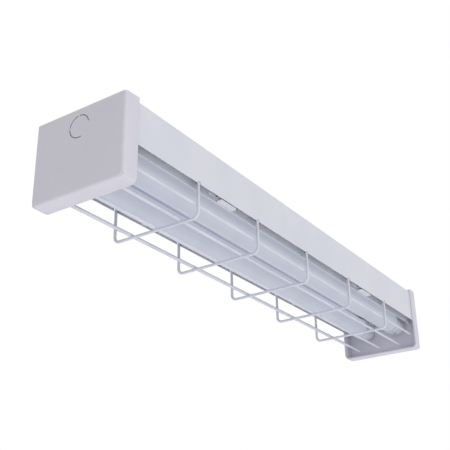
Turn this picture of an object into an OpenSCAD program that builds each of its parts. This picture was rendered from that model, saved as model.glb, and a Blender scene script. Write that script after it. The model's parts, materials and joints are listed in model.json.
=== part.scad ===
// Surface-mounted batten light with two tubes and a hinged wire guard.
// Frame: +X along the light, +Y to the hinged side of the guard, +Z up to the ceiling.
// The origin is in the ceiling plane, midway between the two ceiling screw holes.
// "near" is the -X end, "far" the +X end, "front" the -Y side and "back" the +Y side.

/* [Tubes] */
// Length of a tube between the outer faces of its caps
tube_len = 589.8; // [500:0.1:1200]
// Diameter of the glass tube
tube_d = 26; // [25:0.2:26.6]
// Wall of the glass tube
glass_t = 0.8; // [0.6:0.1:1.2]
// Gap between a glass tube and the side wall of the gear tray
tube_side_gap = 8; // [4:0.5:9]
// Depth of the tube axes below the ceiling
tube_drop = 46; // [45:0.5:50]
// Length of a tube cap
tube_cap_len = 14; // [10:1:25]
// Wall of a tube cap around the glass
tube_cap_wall = 0.6; // [0.5:0.1:1]
// Thickness of the end disc of a tube cap
tube_cap_disc = 1.6; // [1:0.2:3]
// Diameter of a contact pin
pin_d = 2.35; // [2.2:0.05:2.5]
// Length of a contact pin outside its tube cap
pin_len = 7.1; // [6.4:0.1:7.4]
// Distance between the two pins of a tube end
pin_spacing = 12.7; // [12.4:0.1:13]

/* [Lampholders] */
// Thickness of a lampholder along the light
holder_t = 12; // [11:0.5:16]
// Width of a lampholder
holder_w = 25; // [24:0.5:28]
// Diameter of the rotor that grips the pins
rotor_d = 17.6; // [17:0.1:18.4]
// Thickness of the rotor
rotor_t = 5.5; // [5:0.1:6]
// Running clearance around the rotor
rotor_fit = 0.05; // [0.02:0.01:0.09]
// Gap between a tube cap and its lampholder
holder_gap = 0.6; // [0.4:0.1:1]
// Gap between a lampholder and the end wall of the end cap
holder_end_gap = 4; // [3:0.5:8]

/* [End caps] */
// Width of an end cap at its rim
cap_w = 108; // [104:1:120]
// Height of an end cap at its rim
cap_h = 84; // [82:1:100]
// Depth of an end cap along the light
cap_depth = 17; // [16:0.5:24]
// Side and bottom wall of an end cap
cap_wall = 2; // [1.6:0.1:2.6]
// Top wall of an end cap, which stands proud of the body
cap_top_wall = 2.4; // [1.8:0.1:3]
// End wall of an end cap
cap_end_wall = 2; // [1.6:0.1:2.6]
// How much the outer face is smaller than the rim on each drafted side
cap_draft = 0.8; // [0.2:0.1:1]
// Radius of the two lower corners
cap_corner_r = 7; // [5:0.5:12]
// Radius of the edge around the outer face
cap_edge_r = 3; // [1:0.5:3]
// Diameter of the knockout ring in the outer face
knockout_d = 22.2; // [18:0.1:26]
// Depth of the knockout's centre below the ceiling
knockout_drop = 18; // [17:0.5:24]

/* [Body] */
// Thickness of the steel sheet
sheet_t = 0.7; // [0.5:0.1:1]
// Height of the side panels of the body
body_side_h = 42.2; // [41:0.2:45]
// Clearance between the body and the walls of the end caps
side_fit = 0.15; // [0.1:0.05:0.3]
// Distance between the two ceiling screw holes
mount_spacing = 240; // [120:5:300]
// Diameter of a ceiling screw hole
mount_hole_d = 5.5; // [4.5:0.1:7]
// Diameter of the raised pad around a ceiling screw hole
pad_d = 26; // [20:1:36]
// Diameter of the cable entry hole
cable_hole_d = 20; // [16:1:26]
// Place of the cable entry along the light
cable_hole_x = 60; // [30:1:90]

/* [Gear tray] */
// Width of the groove between the body's side panel and the tray's side wall
groove_w = 7.85; // [7.5:0.05:9]
// Depth of the tray's upper face below the ceiling
tray_drop = 28; // [26:0.5:29]
// How far the tray's side walls reach below the side panels of the body
tray_overhang = 2.2; // [1.6:0.1:3]

/* [Tray latches] */
// Length of a latch plate
latch_len = 27; // [22:1:36]
// Thickness of a latch plate
latch_t = 1.2; // [1:0.1:2]
// Distance that a latch slides to open
latch_travel = 12; // [10:0.5:16]

/* [Wire guard] */
// Diameter of the guard wire
wire_d = 3; // [2.4:0.1:3.1]
// Depth of the hoop bottoms below the ceiling
hoop_drop = 78.8; // [74:0.2:80]
// Length of a rail beyond the last hoop
rail_overhang = 87.6; // [60:0.1:100]
// Bend radius of the lower corners of a hoop
hoop_r = 6; // [4:0.5:10]
// Distance between the rails along the bottom
rail_pitch = 29.4; // [26:0.1:34]
// Depth of the side rails below the ceiling
side_rail_drop = 64.6; // [60:0.2:68]
// Gap between the guard and the end caps
guard_end_gap = 3.5; // [2:0.5:8]

/* [Hidden] */

$fn = 48;
near = -1;
far = 1;
front = -1;
back = 1;
overrun = 1;

// Whole light
overall_len = tube_len + 2 * (holder_gap + holder_t + holder_end_gap + cap_end_wall);
end_x = overall_len / 2;
rim_x = end_x - cap_depth;

// Body channel
body_end_gap = 0.5;
body_w = cap_w - 2 * (cap_wall + side_fit);
body_len = overall_len - 2 * (cap_end_wall + body_end_gap);
body_top_z = -cap_top_wall;
edge_z = body_top_z - body_side_h;
panel_in = body_w / 2 - sheet_t;

// Gear tray
tray_w = body_w - 2 * groove_w;
tube_spacing = tray_w - 2 * tube_side_gap - tube_d;
tray_end_gap = 0.7;
tray_len = body_len - 2 * tray_end_gap;
tray_under_z = -tray_drop - sheet_t;
tray_edge_z = edge_z - tray_overhang;

// Snap fingers that hold an end cap in slots in the top of the body
finger_w = 8;
finger_len = 14;
finger_t = 1.6;
finger_fit = 0.1;
finger_spacing = 50;
barb_len = 4;
barb_h = 0.6;
barb_slot_fit = 0.5;

// Ledge and rib inside the lower part of an end cap
lip_t = 1.6;
lip_recess = 3;
lip_below_body = 1.5;
rib_t = 1.2;
cap_arc_steps = 10;
slice_t = 0.9;

// Knockout ring, in arcs that small webs and one wide web part from each other
score_w = 1;
score_depth = 1.2;
score_arcs = [[12, 90], [98, 172], [180, 285]];

// Latch, measured from the middle of its plate
latch_gap = 0.2;
latch_side_gap = 0.8;
latch_end_r = 2;
tongue_len = 8;
tongue_t = 1.6;
tongue_inset = 1;
tongue_rise = 3.8;
latch_fit = 0.3;
stem_t = 1.6;
keeper_t = 0.8;
keeper_extra = 1;
hook_reach = 5.3;
ledge_w = 2.7;
grip_slot_l = 3.4;
grip_slot_w = 1;
grip_slot_depth = 0.7;
latch_outer_y = panel_in - latch_side_gap;
latch_inner_y = tray_w / 2 + latch_gap;
latch_mid_y = (latch_outer_y + latch_inner_y) / 2;
latch_w = latch_outer_y - latch_inner_y;
tongue_x = -latch_len / 2 + tongue_inset;
tongue_z = edge_z + tongue_rise - tongue_t;

// Guard
hoop_count = 5;
hoop_w = body_w - wire_d;
hinge_bend_in = 0.2;
hinge_r = wire_d / 2 + hinge_bend_in;
hinge_inset = 2 * hinge_r + hinge_bend_in;
hinge_y = hoop_w / 2 - hinge_inset;
hinge_drop = 42;
hinge_run = 9.5;
tip_drop = 42.8;
notch_fit = 0.4;
notch_w = wire_d + 2 * notch_fit;
front_notch_z = -tip_drop + notch_fit;
back_notch_z = -hinge_drop + hinge_inset + wire_d / 2 + notch_fit;
hinge_fit = 0.05;
eye_wall = 0.8;
eye_start = 3.4;
eye_len = 5;
clip_h = 10;
catch_w = 8;
catch_h = 6;
prong_t = 0.8;
prong_fit = 0.1;
prong_reach = wire_d - sheet_t;
hoop_z = -hoop_drop;
rail_z = hoop_z + wire_d;
side_rail_y = hoop_w / 2 - wire_d;
rail_len = overall_len - 2 * (cap_depth + guard_end_gap);
hoop_pitch = (rail_len - 2 * rail_overhang) / (hoop_count - 1);
hoop_x = [for (i = [0 : hoop_count - 1]) (i - (hoop_count - 1) / 2) * hoop_pitch];

// Latches, midway between the last two hoops at each end
latch_x = (hoop_x[hoop_count - 1] + hoop_x[hoop_count - 2]) / 2;

// Lampholders and rotors
holder_x = tube_len / 2 + holder_gap;
pocket_depth = 9.5;
rotor_recess = 0.4;
rotor_slot_w = 2.7;
rotor_slot_depth = 7;
rotor_back_t = 3.1;
rotor_back_d = 15;
entry_w = 3.2;
foot_l = 5;
foot_w = 10;
foot_h = 6;
foot_fit = 0.2;
contact_t = 0.6;
contact_h = 5;
contact_fit = 0.12;
contact_gap = 0.2;
contact_root = 1.5;

// Tubes
glass_fit = 0.1;
pin_fit = 0.05;
pin_root = 4;
board_w = 10;
board_t = 1;
board_end_gap = 20;
board_clear = 0.1;
led_count = 36;
led_l = 3;
led_w = 2.8;
led_t = 0.7;
driver_l = 60;
driver_w = 14;
driver_t = 1.2;
driver_drop = 6;
header_l = 6;
header_w = 5;
coil_d = 8;
coil_h = 5;
coil_pitch = 14;
cap_can_d = 6;
cap_can_l = 11;

// Wiring
block_x = -45;
block_l = 30;
block_w = 32;
block_h = 14;
pole_pitch = 10;
block_hole_d = 5.4;
lead_in = 4;
block_screw_d = 4;
block_screw_h = 2;
block_screw_inset = 6;
screw_slot_w = 0.8;
earth_d = 4;
earth_head_d = 7;
earth_head_h = 2.6;
earth_tail = 5;
lead_d = 2.2;
lead_rise = 4;
lead_pair_gap = 2.6;
lead_bend = 5;

// Rubber ring in the cable entry
grommet_bore_d = 13;
grommet_lip = 2;
grommet_top_t = 1.2;
grommet_low_t = 2;

// Rod of diameter d from point p to point q
module rod(p, q, d) {
    v = q - p;
    translate(p)
        rotate([0, acos(v.z / norm(v)), atan2(v.y, v.x)])
            cylinder(h = norm(v), d = d);
}

function unit(v) = v / norm(v);
function turn(points, i) = acos(unit(points[i] - points[i - 1]) * unit(points[i + 1] - points[i]));
function bend_run(points, radii, i) = radii[i - 1] * tan(turn(points, i) / 2);

// Bend of a wire at one of its inner corner points
module wire_bend(points, radii, i, d) {
    u = unit(points[i] - points[i - 1]);
    v = unit(points[i + 1] - points[i]);
    n = unit(v - (u * v) * u);
    w = cross(-n, u);
    c = points[i] - bend_run(points, radii, i) * u + radii[i - 1] * n;
    multmatrix([[-n.x, u.x, w.x, c.x], [-n.y, u.y, w.y, c.y], [-n.z, u.z, w.z, c.z], [0, 0, 0, 1]])
        rotate_extrude(angle = turn(points, i))
            translate([radii[i - 1], 0])
                circle(d = d);
}

// Wire of diameter d through a list of corner points, with a bend radius for each inner one
module wire(points, radii, d) {
    last = len(points) - 1;
    for (i = [0 : last - 1]) {
        u = unit(points[i + 1] - points[i]);
        start = i == 0 ? points[i] : points[i] + bend_run(points, radii, i) * u;
        stop = i == last - 1 ? points[i + 1] : points[i + 1] - bend_run(points, radii, i + 1) * u;
        rod(start, stop, d);
    }
    for (i = [1 : last - 1])
        wire_bend(points, radii, i, d);
}

// Box from one corner to the opposite one
module box(a, b) {
    translate([min(a.x, b.x), min(a.y, b.y), min(a.z, b.z)])
        cube([abs(b.x - a.x), abs(b.y - a.y), abs(b.z - a.z)]);
}

// Cylinder along X that starts at x
module x_cylinder(x, y, z, len, d) {
    translate([x, y, z])
        rotate([0, 90, 0])
            cylinder(h = len, d = d);
}

// Places a piece at the near end or, mirrored, at the far end
module at_end(side) {
    if (side == far)
        mirror([1, 0, 0])
            children();
    else
        children();
}

// Steel channel that is open below

module mounting_pad(x) {
    translate([x, 0, body_top_z])
        cylinder(h = cap_top_wall, d = pad_d);
}

module mounting_pad_cut(x) {
    translate([x, 0, body_top_z - sheet_t - overrun])
        cylinder(h = cap_top_wall + overrun, d = pad_d - 2 * sheet_t);
    translate([x, 0, body_top_z - overrun])
        cylinder(h = cap_top_wall + 2 * overrun, d = mount_hole_d);
}

module leg_notch(x, side, top_z) {
    box([x - notch_w / 2, side * (panel_in - overrun), edge_z - overrun],
        [x + notch_w / 2, side * (body_w / 2 + overrun), top_z]);
}

// Inward ledge that a closed latch hooks over at the front, and a tab of the tray at the back
module tray_ledge(x, side) {
    z_top = tongue_z - latch_fit;
    box([x + tongue_x, side * (panel_in - ledge_w), z_top - sheet_t],
        [x + tongue_x + tongue_len, side * (panel_in + sheet_t / 2), z_top]);
}

module barb_slot(side, y) {
    slot_x = end_x - cap_end_wall - finger_len;
    box([side * (slot_x - barb_slot_fit), y - finger_w / 2 - barb_slot_fit, body_top_z + overrun],
        [side * (slot_x + barb_len + barb_slot_fit), y + finger_w / 2 + barb_slot_fit,
         body_top_z - sheet_t - overrun]);
}

module body() {
    color("gainsboro") {
        difference() {
            union() {
                box([-body_len / 2, -body_w / 2, edge_z], [body_len / 2, body_w / 2, body_top_z]);
                for (x = [-mount_spacing / 2, mount_spacing / 2])
                    mounting_pad(x);
            }
            box([-body_len, -panel_in, edge_z - overrun], [body_len, panel_in, body_top_z - sheet_t]);
            for (x = [-mount_spacing / 2, mount_spacing / 2])
                mounting_pad_cut(x);
            translate([cable_hole_x, 0, body_top_z - sheet_t - overrun])
                cylinder(h = sheet_t + 2 * overrun, d = cable_hole_d);
            for (x = hoop_x) {
                leg_notch(x, front, front_notch_z);
                leg_notch(x, back, back_notch_z);
            }
            for (side = [near, far])
                for (y = [-finger_spacing / 2, finger_spacing / 2])
                    barb_slot(side, y);
        }
        for (side = [front, back])
            for (x = [-latch_x, latch_x])
                tray_ledge(x, side);
    }
}

// Moulded end caps

// Outline with square upper corners and round lower ones, as points across and up
function cap_outline(w, top, bottom, r) = concat(
    [[-w / 2, top]],
    [for (i = [0 : cap_arc_steps]) let (a = 180 + 90 * i / cap_arc_steps)
        [-w / 2 + r + r * cos(a), bottom + r + r * sin(a)]],
    [for (i = [0 : cap_arc_steps]) let (a = 270 + 90 * i / cap_arc_steps)
        [w / 2 - r + r * cos(a), bottom + r + r * sin(a)]],
    [[w / 2, top]]);

// Prism of a cap outline from x for a length, near end
module cap_prism(x, len, w, top, bottom, r) {
    translate([x, 0, 0])
        rotate([90, 0, 90])
            linear_extrude(height = len)
                polygon(cap_outline(w, top, bottom, r));
}

// Slice of the outer shape, a little in from the outer face
module cap_slice(x, inset) {
    cap_prism(x, slice_t, cap_w - 2 * inset, 0, -cap_h + inset, cap_corner_r);
}

module cap_shell() {
    edge_steps = 4;
    difference() {
        hull() {
            cap_slice(-rim_x - slice_t, 0);
            for (i = [0 : edge_steps])
                let (a = 90 * i / edge_steps)
                    cap_slice(-end_x + cap_edge_r * (1 - cos(a)), cap_draft + cap_edge_r * (1 - sin(a)));
        }
        cap_prism(-end_x + cap_end_wall, cap_depth, cap_w - 2 * cap_wall, -cap_top_wall,
            -cap_h + cap_wall, cap_corner_r - cap_wall);
    }
}

module cap_lip() {
    lip_top = edge_z - lip_below_body;
    lip_len = cap_depth - cap_end_wall - lip_recess;
    difference() {
        cap_prism(-end_x + cap_end_wall, lip_len, cap_w - cap_wall, lip_top,
            -cap_h + cap_wall / 2 + cap_draft, cap_corner_r - cap_wall / 2);
        cap_prism(-end_x + cap_end_wall, cap_depth, cap_w - 2 * (cap_wall + lip_t), lip_top + overrun,
            -cap_h + cap_wall + lip_t, cap_corner_r - cap_wall);
    }
    box([-end_x + cap_end_wall, -rib_t / 2, -cap_h + cap_wall],
        [-rim_x - lip_recess, rib_t / 2, -cap_h + cap_wall + 2 * lip_t]);
}

module snap_finger(y) {
    finger_z = body_top_z - sheet_t - finger_fit;
    root_x = -end_x + cap_end_wall;
    box([root_x - cap_end_wall / 2, y - finger_w / 2, finger_z - finger_t],
        [root_x + finger_len, y + finger_w / 2, finger_z]);
    box([root_x + finger_len - barb_len, y - finger_w / 2, finger_z - finger_t / 2],
        [root_x + finger_len, y + finger_w / 2, finger_z + barb_h]);
}

module knockout_score() {
    translate([-end_x, 0, -knockout_drop])
        rotate([90, 0, -90])
            for (arc = score_arcs)
                rotate([0, 0, arc[0]])
                    rotate_extrude(angle = arc[1] - arc[0])
                        translate([knockout_d / 2 - score_w / 2, -score_depth])
                            square([score_w, score_depth + overrun]);
}

module end_cap(side) {
    color("whitesmoke")
        at_end(side) {
            difference() {
                cap_shell();
                knockout_score();
            }
            cap_lip();
            for (y = [-finger_spacing / 2, finger_spacing / 2])
                snap_finger(y);
        }
}

// Gear tray, an upturned trough that carries the lampholders and the wiring

module latch_slot(x) {
    box([x + tongue_x - latch_travel - latch_fit, -tray_w / 2 - overrun, tongue_z - latch_fit],
        [x + tongue_x + tongue_len + latch_fit, -tray_w / 2 + sheet_t + overrun,
         tongue_z + tongue_t + latch_fit]);
}

// Tab of the back wall that rests on a ledge of the body
module tray_tab(x) {
    box([x + tongue_x, tray_w / 2 - sheet_t, tongue_z],
        [x + tongue_x + tongue_len, tray_w / 2 + latch_fit + hook_reach, tongue_z + sheet_t]);
}

module foot_cut(x, y) {
    box([x - foot_l / 2 - foot_fit, y - foot_w / 2 - foot_fit, tray_under_z - overrun],
        [x + foot_l / 2 + foot_fit, y + foot_w / 2 + foot_fit, -tray_drop + overrun]);
}

module gear_tray() {
    color("white") {
        difference() {
            box([-tray_len / 2, -tray_w / 2, tray_edge_z], [tray_len / 2, tray_w / 2, -tray_drop]);
            box([-tray_len, -tray_w / 2 + sheet_t, tray_edge_z - overrun],
                [tray_len, tray_w / 2 - sheet_t, tray_under_z]);
            for (x = [-latch_x, latch_x])
                latch_slot(x);
            for (x = [-holder_x - holder_t / 2, holder_x + holder_t / 2])
                for (y = [-tube_spacing / 2, tube_spacing / 2])
                    foot_cut(x, y);
            translate([block_x, 0, tray_under_z - overrun])
                cylinder(h = sheet_t + 2 * overrun, d = earth_d);
        }
        for (x = [-latch_x, latch_x])
            tray_tab(x);
    }
}

// Sliding latch in the groove of the front side

module latch_plate() {
    z_top = edge_z - latch_gap;
    difference() {
        union() {
            for (s = [-1, 1])
                for (t = [-1, 1])
                    translate([s * (latch_len / 2 - latch_end_r), t * (latch_w / 2 - latch_end_r) - latch_mid_y,
                        z_top - latch_t])
                        cylinder(h = latch_t, r = latch_end_r);
            box([-latch_len / 2 + latch_end_r, -latch_mid_y - latch_w / 2, z_top - latch_t],
                [latch_len / 2 - latch_end_r, -latch_mid_y + latch_w / 2, z_top]);
            box([-latch_len / 2, -latch_mid_y - latch_w / 2 + latch_end_r, z_top - latch_t],
                [latch_len / 2, -latch_mid_y + latch_w / 2 - latch_end_r, z_top]);
        }
        box([-grip_slot_w / 2, -latch_mid_y - grip_slot_l / 2, z_top - latch_t - overrun],
            [grip_slot_w / 2, -latch_mid_y + grip_slot_l / 2, z_top - latch_t + grip_slot_depth]);
    }
}

module latch(x) {
    stem_y = -tray_w / 2 - latch_fit;
    keeper_y = -tray_w / 2 + sheet_t + latch_fit;
    color("white")
        translate([x, 0, 0]) {
            latch_plate();
            box([tongue_x, stem_y - stem_t, edge_z - latch_gap - latch_t / 2],
                [tongue_x + tongue_len, stem_y, tongue_z + tongue_t]);
            box([tongue_x, stem_y - hook_reach, tongue_z],
                [tongue_x + tongue_len, keeper_y + keeper_t, tongue_z + tongue_t]);
            box([tongue_x, keeper_y, tongue_z - keeper_extra],
                [tongue_x + tongue_len, keeper_y + keeper_t, tongue_z + tongue_t + keeper_extra]);
        }
}

// Wire guard

module guard_hoop(x) {
    leg_y = hoop_w / 2;
    color("white")
        translate([x, 0, 0])
            wire([[0, -leg_y, -tip_drop], [0, -leg_y, hoop_z], [0, leg_y, hoop_z],
                [0, leg_y, -hinge_drop], [0, hinge_y, -hinge_drop], [hinge_run, hinge_y, -hinge_drop]],
                [hoop_r, hoop_r, hinge_r, hinge_r], wire_d);
}

module guard_rail(y, z) {
    color("white")
        x_cylinder(-rail_len / 2, y, z, rail_len, wire_d);
}

// Clip with an eye that the back leg of a hoop turns in
module hinge_clip(x) {
    eye_d = wire_d + 2 * (hinge_fit + eye_wall);
    difference() {
        union() {
            x_cylinder(x + eye_start, hinge_y, -hinge_drop, eye_len, eye_d);
            box([x + eye_start, hinge_y, -hinge_drop - eye_d / 2],
                [x + eye_start + eye_len, panel_in, -hinge_drop + eye_d / 2]);
            box([x + eye_start, panel_in - sheet_t, -hinge_drop - eye_d / 2],
                [x + eye_start + eye_len, panel_in, -hinge_drop - eye_d / 2 + clip_h]);
        }
        x_cylinder(x, hinge_y, -hinge_drop, eye_start + 2 * eye_len, wire_d + 2 * hinge_fit);
    }
}

module guard_hinge_clips() {
    color("silver")
        for (x = hoop_x)
            hinge_clip(x);
}

// Spring clip with two prongs that grip the tip of a front leg
module guard_catch(x) {
    box([x - catch_w / 2, -panel_in, front_notch_z],
        [x + catch_w / 2, -panel_in + sheet_t, front_notch_z + catch_h]);
    for (s = [-1, 1])
        box([x + s * (wire_d / 2 + prong_fit), -panel_in, edge_z + prong_fit],
            [x + s * (wire_d / 2 + prong_fit + prong_t), -panel_in + prong_reach, front_notch_z + prong_t]);
}

module guard_catches() {
    color("silver")
        for (x = hoop_x)
            guard_catch(x);
}

// Lampholders

module holder_block() {
    depth = tube_drop + tray_under_z;
    x_cylinder(0, 0, 0, holder_t, holder_w);
    box([0, -holder_w / 2, 0], [holder_t, holder_w / 2, depth]);
    box([holder_t / 2 - foot_l / 2, -foot_w / 2, depth - overrun],
        [holder_t / 2 + foot_l / 2, foot_w / 2, depth + sheet_t + foot_h]);
}

module holder_cuts() {
    x_cylinder(-overrun, 0, 0, pocket_depth + overrun, rotor_d + 2 * rotor_fit);
    box([-overrun, -entry_w / 2, -holder_w], [pocket_depth, entry_w / 2, 0]);
    for (s = [-1, 1])
        translate([0, s * contact_mid_y(), 0])
            box([pocket_depth - overrun, -contact_t / 2 - pin_fit, -contact_h / 2 - pin_fit],
                [pocket_depth + contact_root, contact_t / 2 + pin_fit, contact_h / 2 + pin_fit]);
}

function contact_mid_y() = pin_spacing / 2 + pin_d / 2 + contact_fit + contact_t / 2;

// Places a piece modelled at the far end, with its inner face at zero, on one tube axis
module at_holder(end, side) {
    translate([0, side * tube_spacing / 2, -tube_drop])
        mirror([end == near ? 1 : 0, 0, 0])
            translate([holder_x, 0, 0])
                children();
}

module lampholder(end, side) {
    color("white")
        at_holder(end, side)
            difference() {
                holder_block();
                holder_cuts();
            }
}

module rotor(end, side) {
    color("gainsboro")
        at_holder(end, side)
            difference() {
                union() {
                    x_cylinder(rotor_recess, 0, 0, rotor_t, rotor_d);
                    x_cylinder(rotor_recess + rotor_t, 0, 0, rotor_back_t, rotor_back_d);
                }
                box([0, -rotor_d, -rotor_slot_w / 2], [rotor_slot_depth, rotor_d, rotor_slot_w / 2]);
            }
}

module holder_contacts() {
    contact_x = rotor_recess + rotor_t + contact_gap;
    color("goldenrod")
        for (end = [near, far])
            for (side = [front, back])
                at_holder(end, side)
                    for (s = [-1, 1])
                        translate([0, s * contact_mid_y(), 0])
                            box([contact_x, -contact_t / 2, -contact_h / 2],
                                [pocket_depth + contact_root - pin_fit, contact_t / 2, contact_h / 2]);
}

// Tubes

module tube_glass(side) {
    glass_len = tube_len - 2 * (tube_cap_disc + glass_fit);
    color("azure")
        translate([0, side * tube_spacing / 2, -tube_drop])
            difference() {
                x_cylinder(-glass_len / 2, 0, 0, glass_len, tube_d);
                x_cylinder(-glass_len, 0, 0, 2 * glass_len, tube_d - 2 * glass_t);
            }
}

module tube_cap(end, side) {
    color("lightgray")
        translate([0, side * tube_spacing / 2, -tube_drop])
            mirror([end == near ? 1 : 0, 0, 0])
                difference() {
                    x_cylinder(tube_len / 2 - tube_cap_len, 0, 0, tube_cap_len,
                        tube_d + 2 * (glass_fit + tube_cap_wall));
                    x_cylinder(tube_len / 2 - 2 * tube_cap_len, 0, 0, 2 * tube_cap_len - tube_cap_disc,
                        tube_d + 2 * glass_fit);
                    for (s = [-1, 1])
                        x_cylinder(tube_len / 2 - tube_cap_len, s * pin_spacing / 2, 0, 2 * tube_cap_len,
                            pin_d + 2 * pin_fit);
                }
}

module tube_pins(side) {
    color("silver")
        translate([0, side * tube_spacing / 2, -tube_drop])
            for (end = [0, 1])
                mirror([end, 0, 0])
                    for (s = [-1, 1]) {
                        x_cylinder(tube_len / 2 - pin_root, s * pin_spacing / 2, 0,
                            pin_root + pin_len - pin_d / 2, pin_d);
                        translate([tube_len / 2 + pin_len - pin_d / 2, s * pin_spacing / 2, 0])
                            sphere(d = pin_d);
                    }
}

function board_top() = sqrt(pow(tube_d / 2 - glass_t - board_clear, 2) - pow(board_w / 2, 2));

module led_board(side) {
    board_l = tube_len - 2 * board_end_gap;
    led_pitch = board_l / led_count;
    color("white")
        translate([0, side * tube_spacing / 2, -tube_drop + board_top()]) {
            box([-board_l / 2, -board_w / 2, -board_t], [board_l / 2, board_w / 2, 0]);
            for (i = [0 : led_count - 1])
                translate([(i - (led_count - 1) / 2) * led_pitch, 0, 0])
                    box([-led_l / 2, -led_w / 2, -board_t - led_t], [led_l / 2, led_w / 2, -board_t]);
        }
}

// Supply board inside the near end of a tube, on a header under the strip of light sources
module tube_driver(side) {
    start_x = -tube_len / 2 + board_end_gap;
    board_z = board_top() - board_t;
    part_z = board_z - driver_drop - driver_t;
    color("seagreen")
        translate([start_x, side * tube_spacing / 2, -tube_drop]) {
            box([0, -driver_w / 2, part_z], [driver_l, driver_w / 2, part_z + driver_t]);
            box([0, -header_w / 2, board_z - driver_drop], [header_l / 4, header_w / 2, board_z]);
            for (i = [1, 2])
                translate([i * coil_pitch, 0, part_z - coil_h])
                    cylinder(h = coil_h, d = coil_d);
            x_cylinder(driver_l - 2 * cap_can_l, 0, part_z - cap_can_d / 2, cap_can_l, cap_can_d);
        }
}

// Wiring on the tray

module pole_places() {
    for (i = [-1 : 1])
        translate([0, i * pole_pitch, 0])
            children();
}

module terminal_block() {
    color("ivory")
        translate([block_x, 0, -tray_drop])
            difference() {
                box([-block_l / 2, -block_w / 2, 0], [block_l / 2, block_w / 2, block_h]);
                pole_places() {
                    x_cylinder(-block_l, 0, lead_rise, 2 * block_l, block_hole_d);
                    for (s = [-1, 1])
                        translate([s * (block_l / 2 - block_screw_inset), 0, block_h - block_screw_h])
                            cylinder(h = block_screw_h + overrun, d = block_screw_d + 2 * pin_fit);
                }
                translate([0, 0, -overrun])
                    cylinder(h = block_h + 2 * overrun, d = earth_d + 2 * pin_fit);
                translate([0, 0, block_h - earth_head_h])
                    cylinder(h = earth_head_h + overrun, d = earth_head_d + 2 * pin_fit);
            }
}

module terminal_screws() {
    color("gold")
        translate([block_x, 0, -tray_drop + block_h - block_screw_h])
            pole_places()
                for (s = [-1, 1])
                    translate([s * (block_l / 2 - block_screw_inset), 0, 0])
                        difference() {
                            cylinder(h = block_screw_h, d = block_screw_d);
                            box([-block_screw_d, -screw_slot_w / 2, block_screw_h / 2],
                                [block_screw_d, screw_slot_w / 2, block_screw_h + overrun]);
                        }
}

module earth_screw() {
    color("silver")
        translate([block_x, 0, -tray_drop + block_h - earth_head_h]) {
            difference() {
                cylinder(h = earth_head_h, d = earth_head_d);
                box([-earth_head_d, -screw_slot_w / 2, earth_head_h / 2],
                    [earth_head_d, screw_slot_w / 2, earth_head_h + overrun]);
            }
            translate([0, 0, -block_h + earth_head_h - earth_tail])
                cylinder(h = block_h - earth_head_h + earth_tail, d = earth_d - 2 * pin_fit);
        }
}

// Two leads from one pole of the block to the lampholders at one end
module lead_pair(end, pole_y) {
    lead_z = -tray_drop + lead_rise;
    start_x = block_x + end * (block_l / 2 - lead_in);
    stop_x = end * (holder_x + holder_t / 2 - foot_l / 2);
    for (side = [front, back]) {
        lead_y = pole_y + side * lead_pair_gap / 2;
        bend_x = start_x + end * (lead_in + 2 * lead_bend);
        wire([[start_x, lead_y, lead_z], [bend_x, lead_y, lead_z],
            [bend_x, side * tube_spacing / 2, lead_z], [stop_x, side * tube_spacing / 2, lead_z]],
            [lead_bend, lead_bend], lead_d);
    }
}

module live_wires() {
    color("saddlebrown")
        lead_pair(near, -pole_pitch);
}

module neutral_wires() {
    color("steelblue")
        lead_pair(far, pole_pitch);
}

module cable_grommet() {
    top_z = body_top_z + grommet_top_t;
    under_z = body_top_z - sheet_t;
    hole_r = cable_hole_d / 2;
    color("dimgray")
        translate([cable_hole_x, 0, 0])
            rotate_extrude()
                polygon([[grommet_bore_d / 2, top_z], [hole_r + grommet_lip, top_z],
                    [hole_r + grommet_lip, body_top_z], [hole_r, body_top_z], [hole_r, under_z],
                    [hole_r + grommet_lip, under_z], [hole_r + grommet_lip, under_z - grommet_low_t],
                    [grommet_bore_d / 2, under_z - grommet_low_t]]);
}

body();
end_cap(near);  // end_cap_near
end_cap(far);  // end_cap_far
gear_tray();
latch(-latch_x);  // latch_near
latch(latch_x);  // latch_far
for (i = [0 : hoop_count - 1])
    guard_hoop(hoop_x[i]);
guard_rail(-rail_pitch, rail_z);  // bottom_rail_front
guard_rail(0, rail_z);  // bottom_rail_middle
guard_rail(rail_pitch, rail_z);  // bottom_rail_back
guard_rail(-side_rail_y, -side_rail_drop);  // side_rail_front
guard_rail(side_rail_y, -side_rail_drop);  // side_rail_back
guard_hinge_clips();
guard_catches();
lampholder(near, front);  // lampholder_front_near
lampholder(far, front);  // lampholder_front_far
lampholder(near, back);  // lampholder_back_near
lampholder(far, back);  // lampholder_back_far
rotor(near, front);  // rotor_front_near
rotor(far, front);  // rotor_front_far
rotor(near, back);  // rotor_back_near
rotor(far, back);  // rotor_back_far
holder_contacts();
tube_glass(front);  // tube_front_glass
tube_cap(near, front);  // tube_front_cap_near
tube_cap(far, front);  // tube_front_cap_far
tube_pins(front);  // tube_front_pins
led_board(front);  // tube_front_led_board
tube_driver(front);  // tube_front_driver
tube_glass(back);  // tube_back_glass
tube_cap(near, back);  // tube_back_cap_near
tube_cap(far, back);  // tube_back_cap_far
tube_pins(back);  // tube_back_pins
led_board(back);  // tube_back_led_board
tube_driver(back);  // tube_back_driver
terminal_block();
terminal_screws();
earth_screw();
live_wires();
neutral_wires();
cable_grommet();
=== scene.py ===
# %% [markdown]
# # A two-tube batten light with a wire guard
# The light is a folded steel channel that is screwed to a ceiling. Two glass tubes hang in
# turning lampholders under a steel tray, a moulded cap closes each end, and a hinged wire guard
# keeps knocks off the tubes. The frame below brings in the solids of the construction. This
# lesson gives each of them its real surface, and models again the pieces whose rounded edges the
# plain solids leave out.

# %% Load the frame
import json
import math

import bmesh
import bpy
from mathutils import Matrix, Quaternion, Vector

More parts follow.
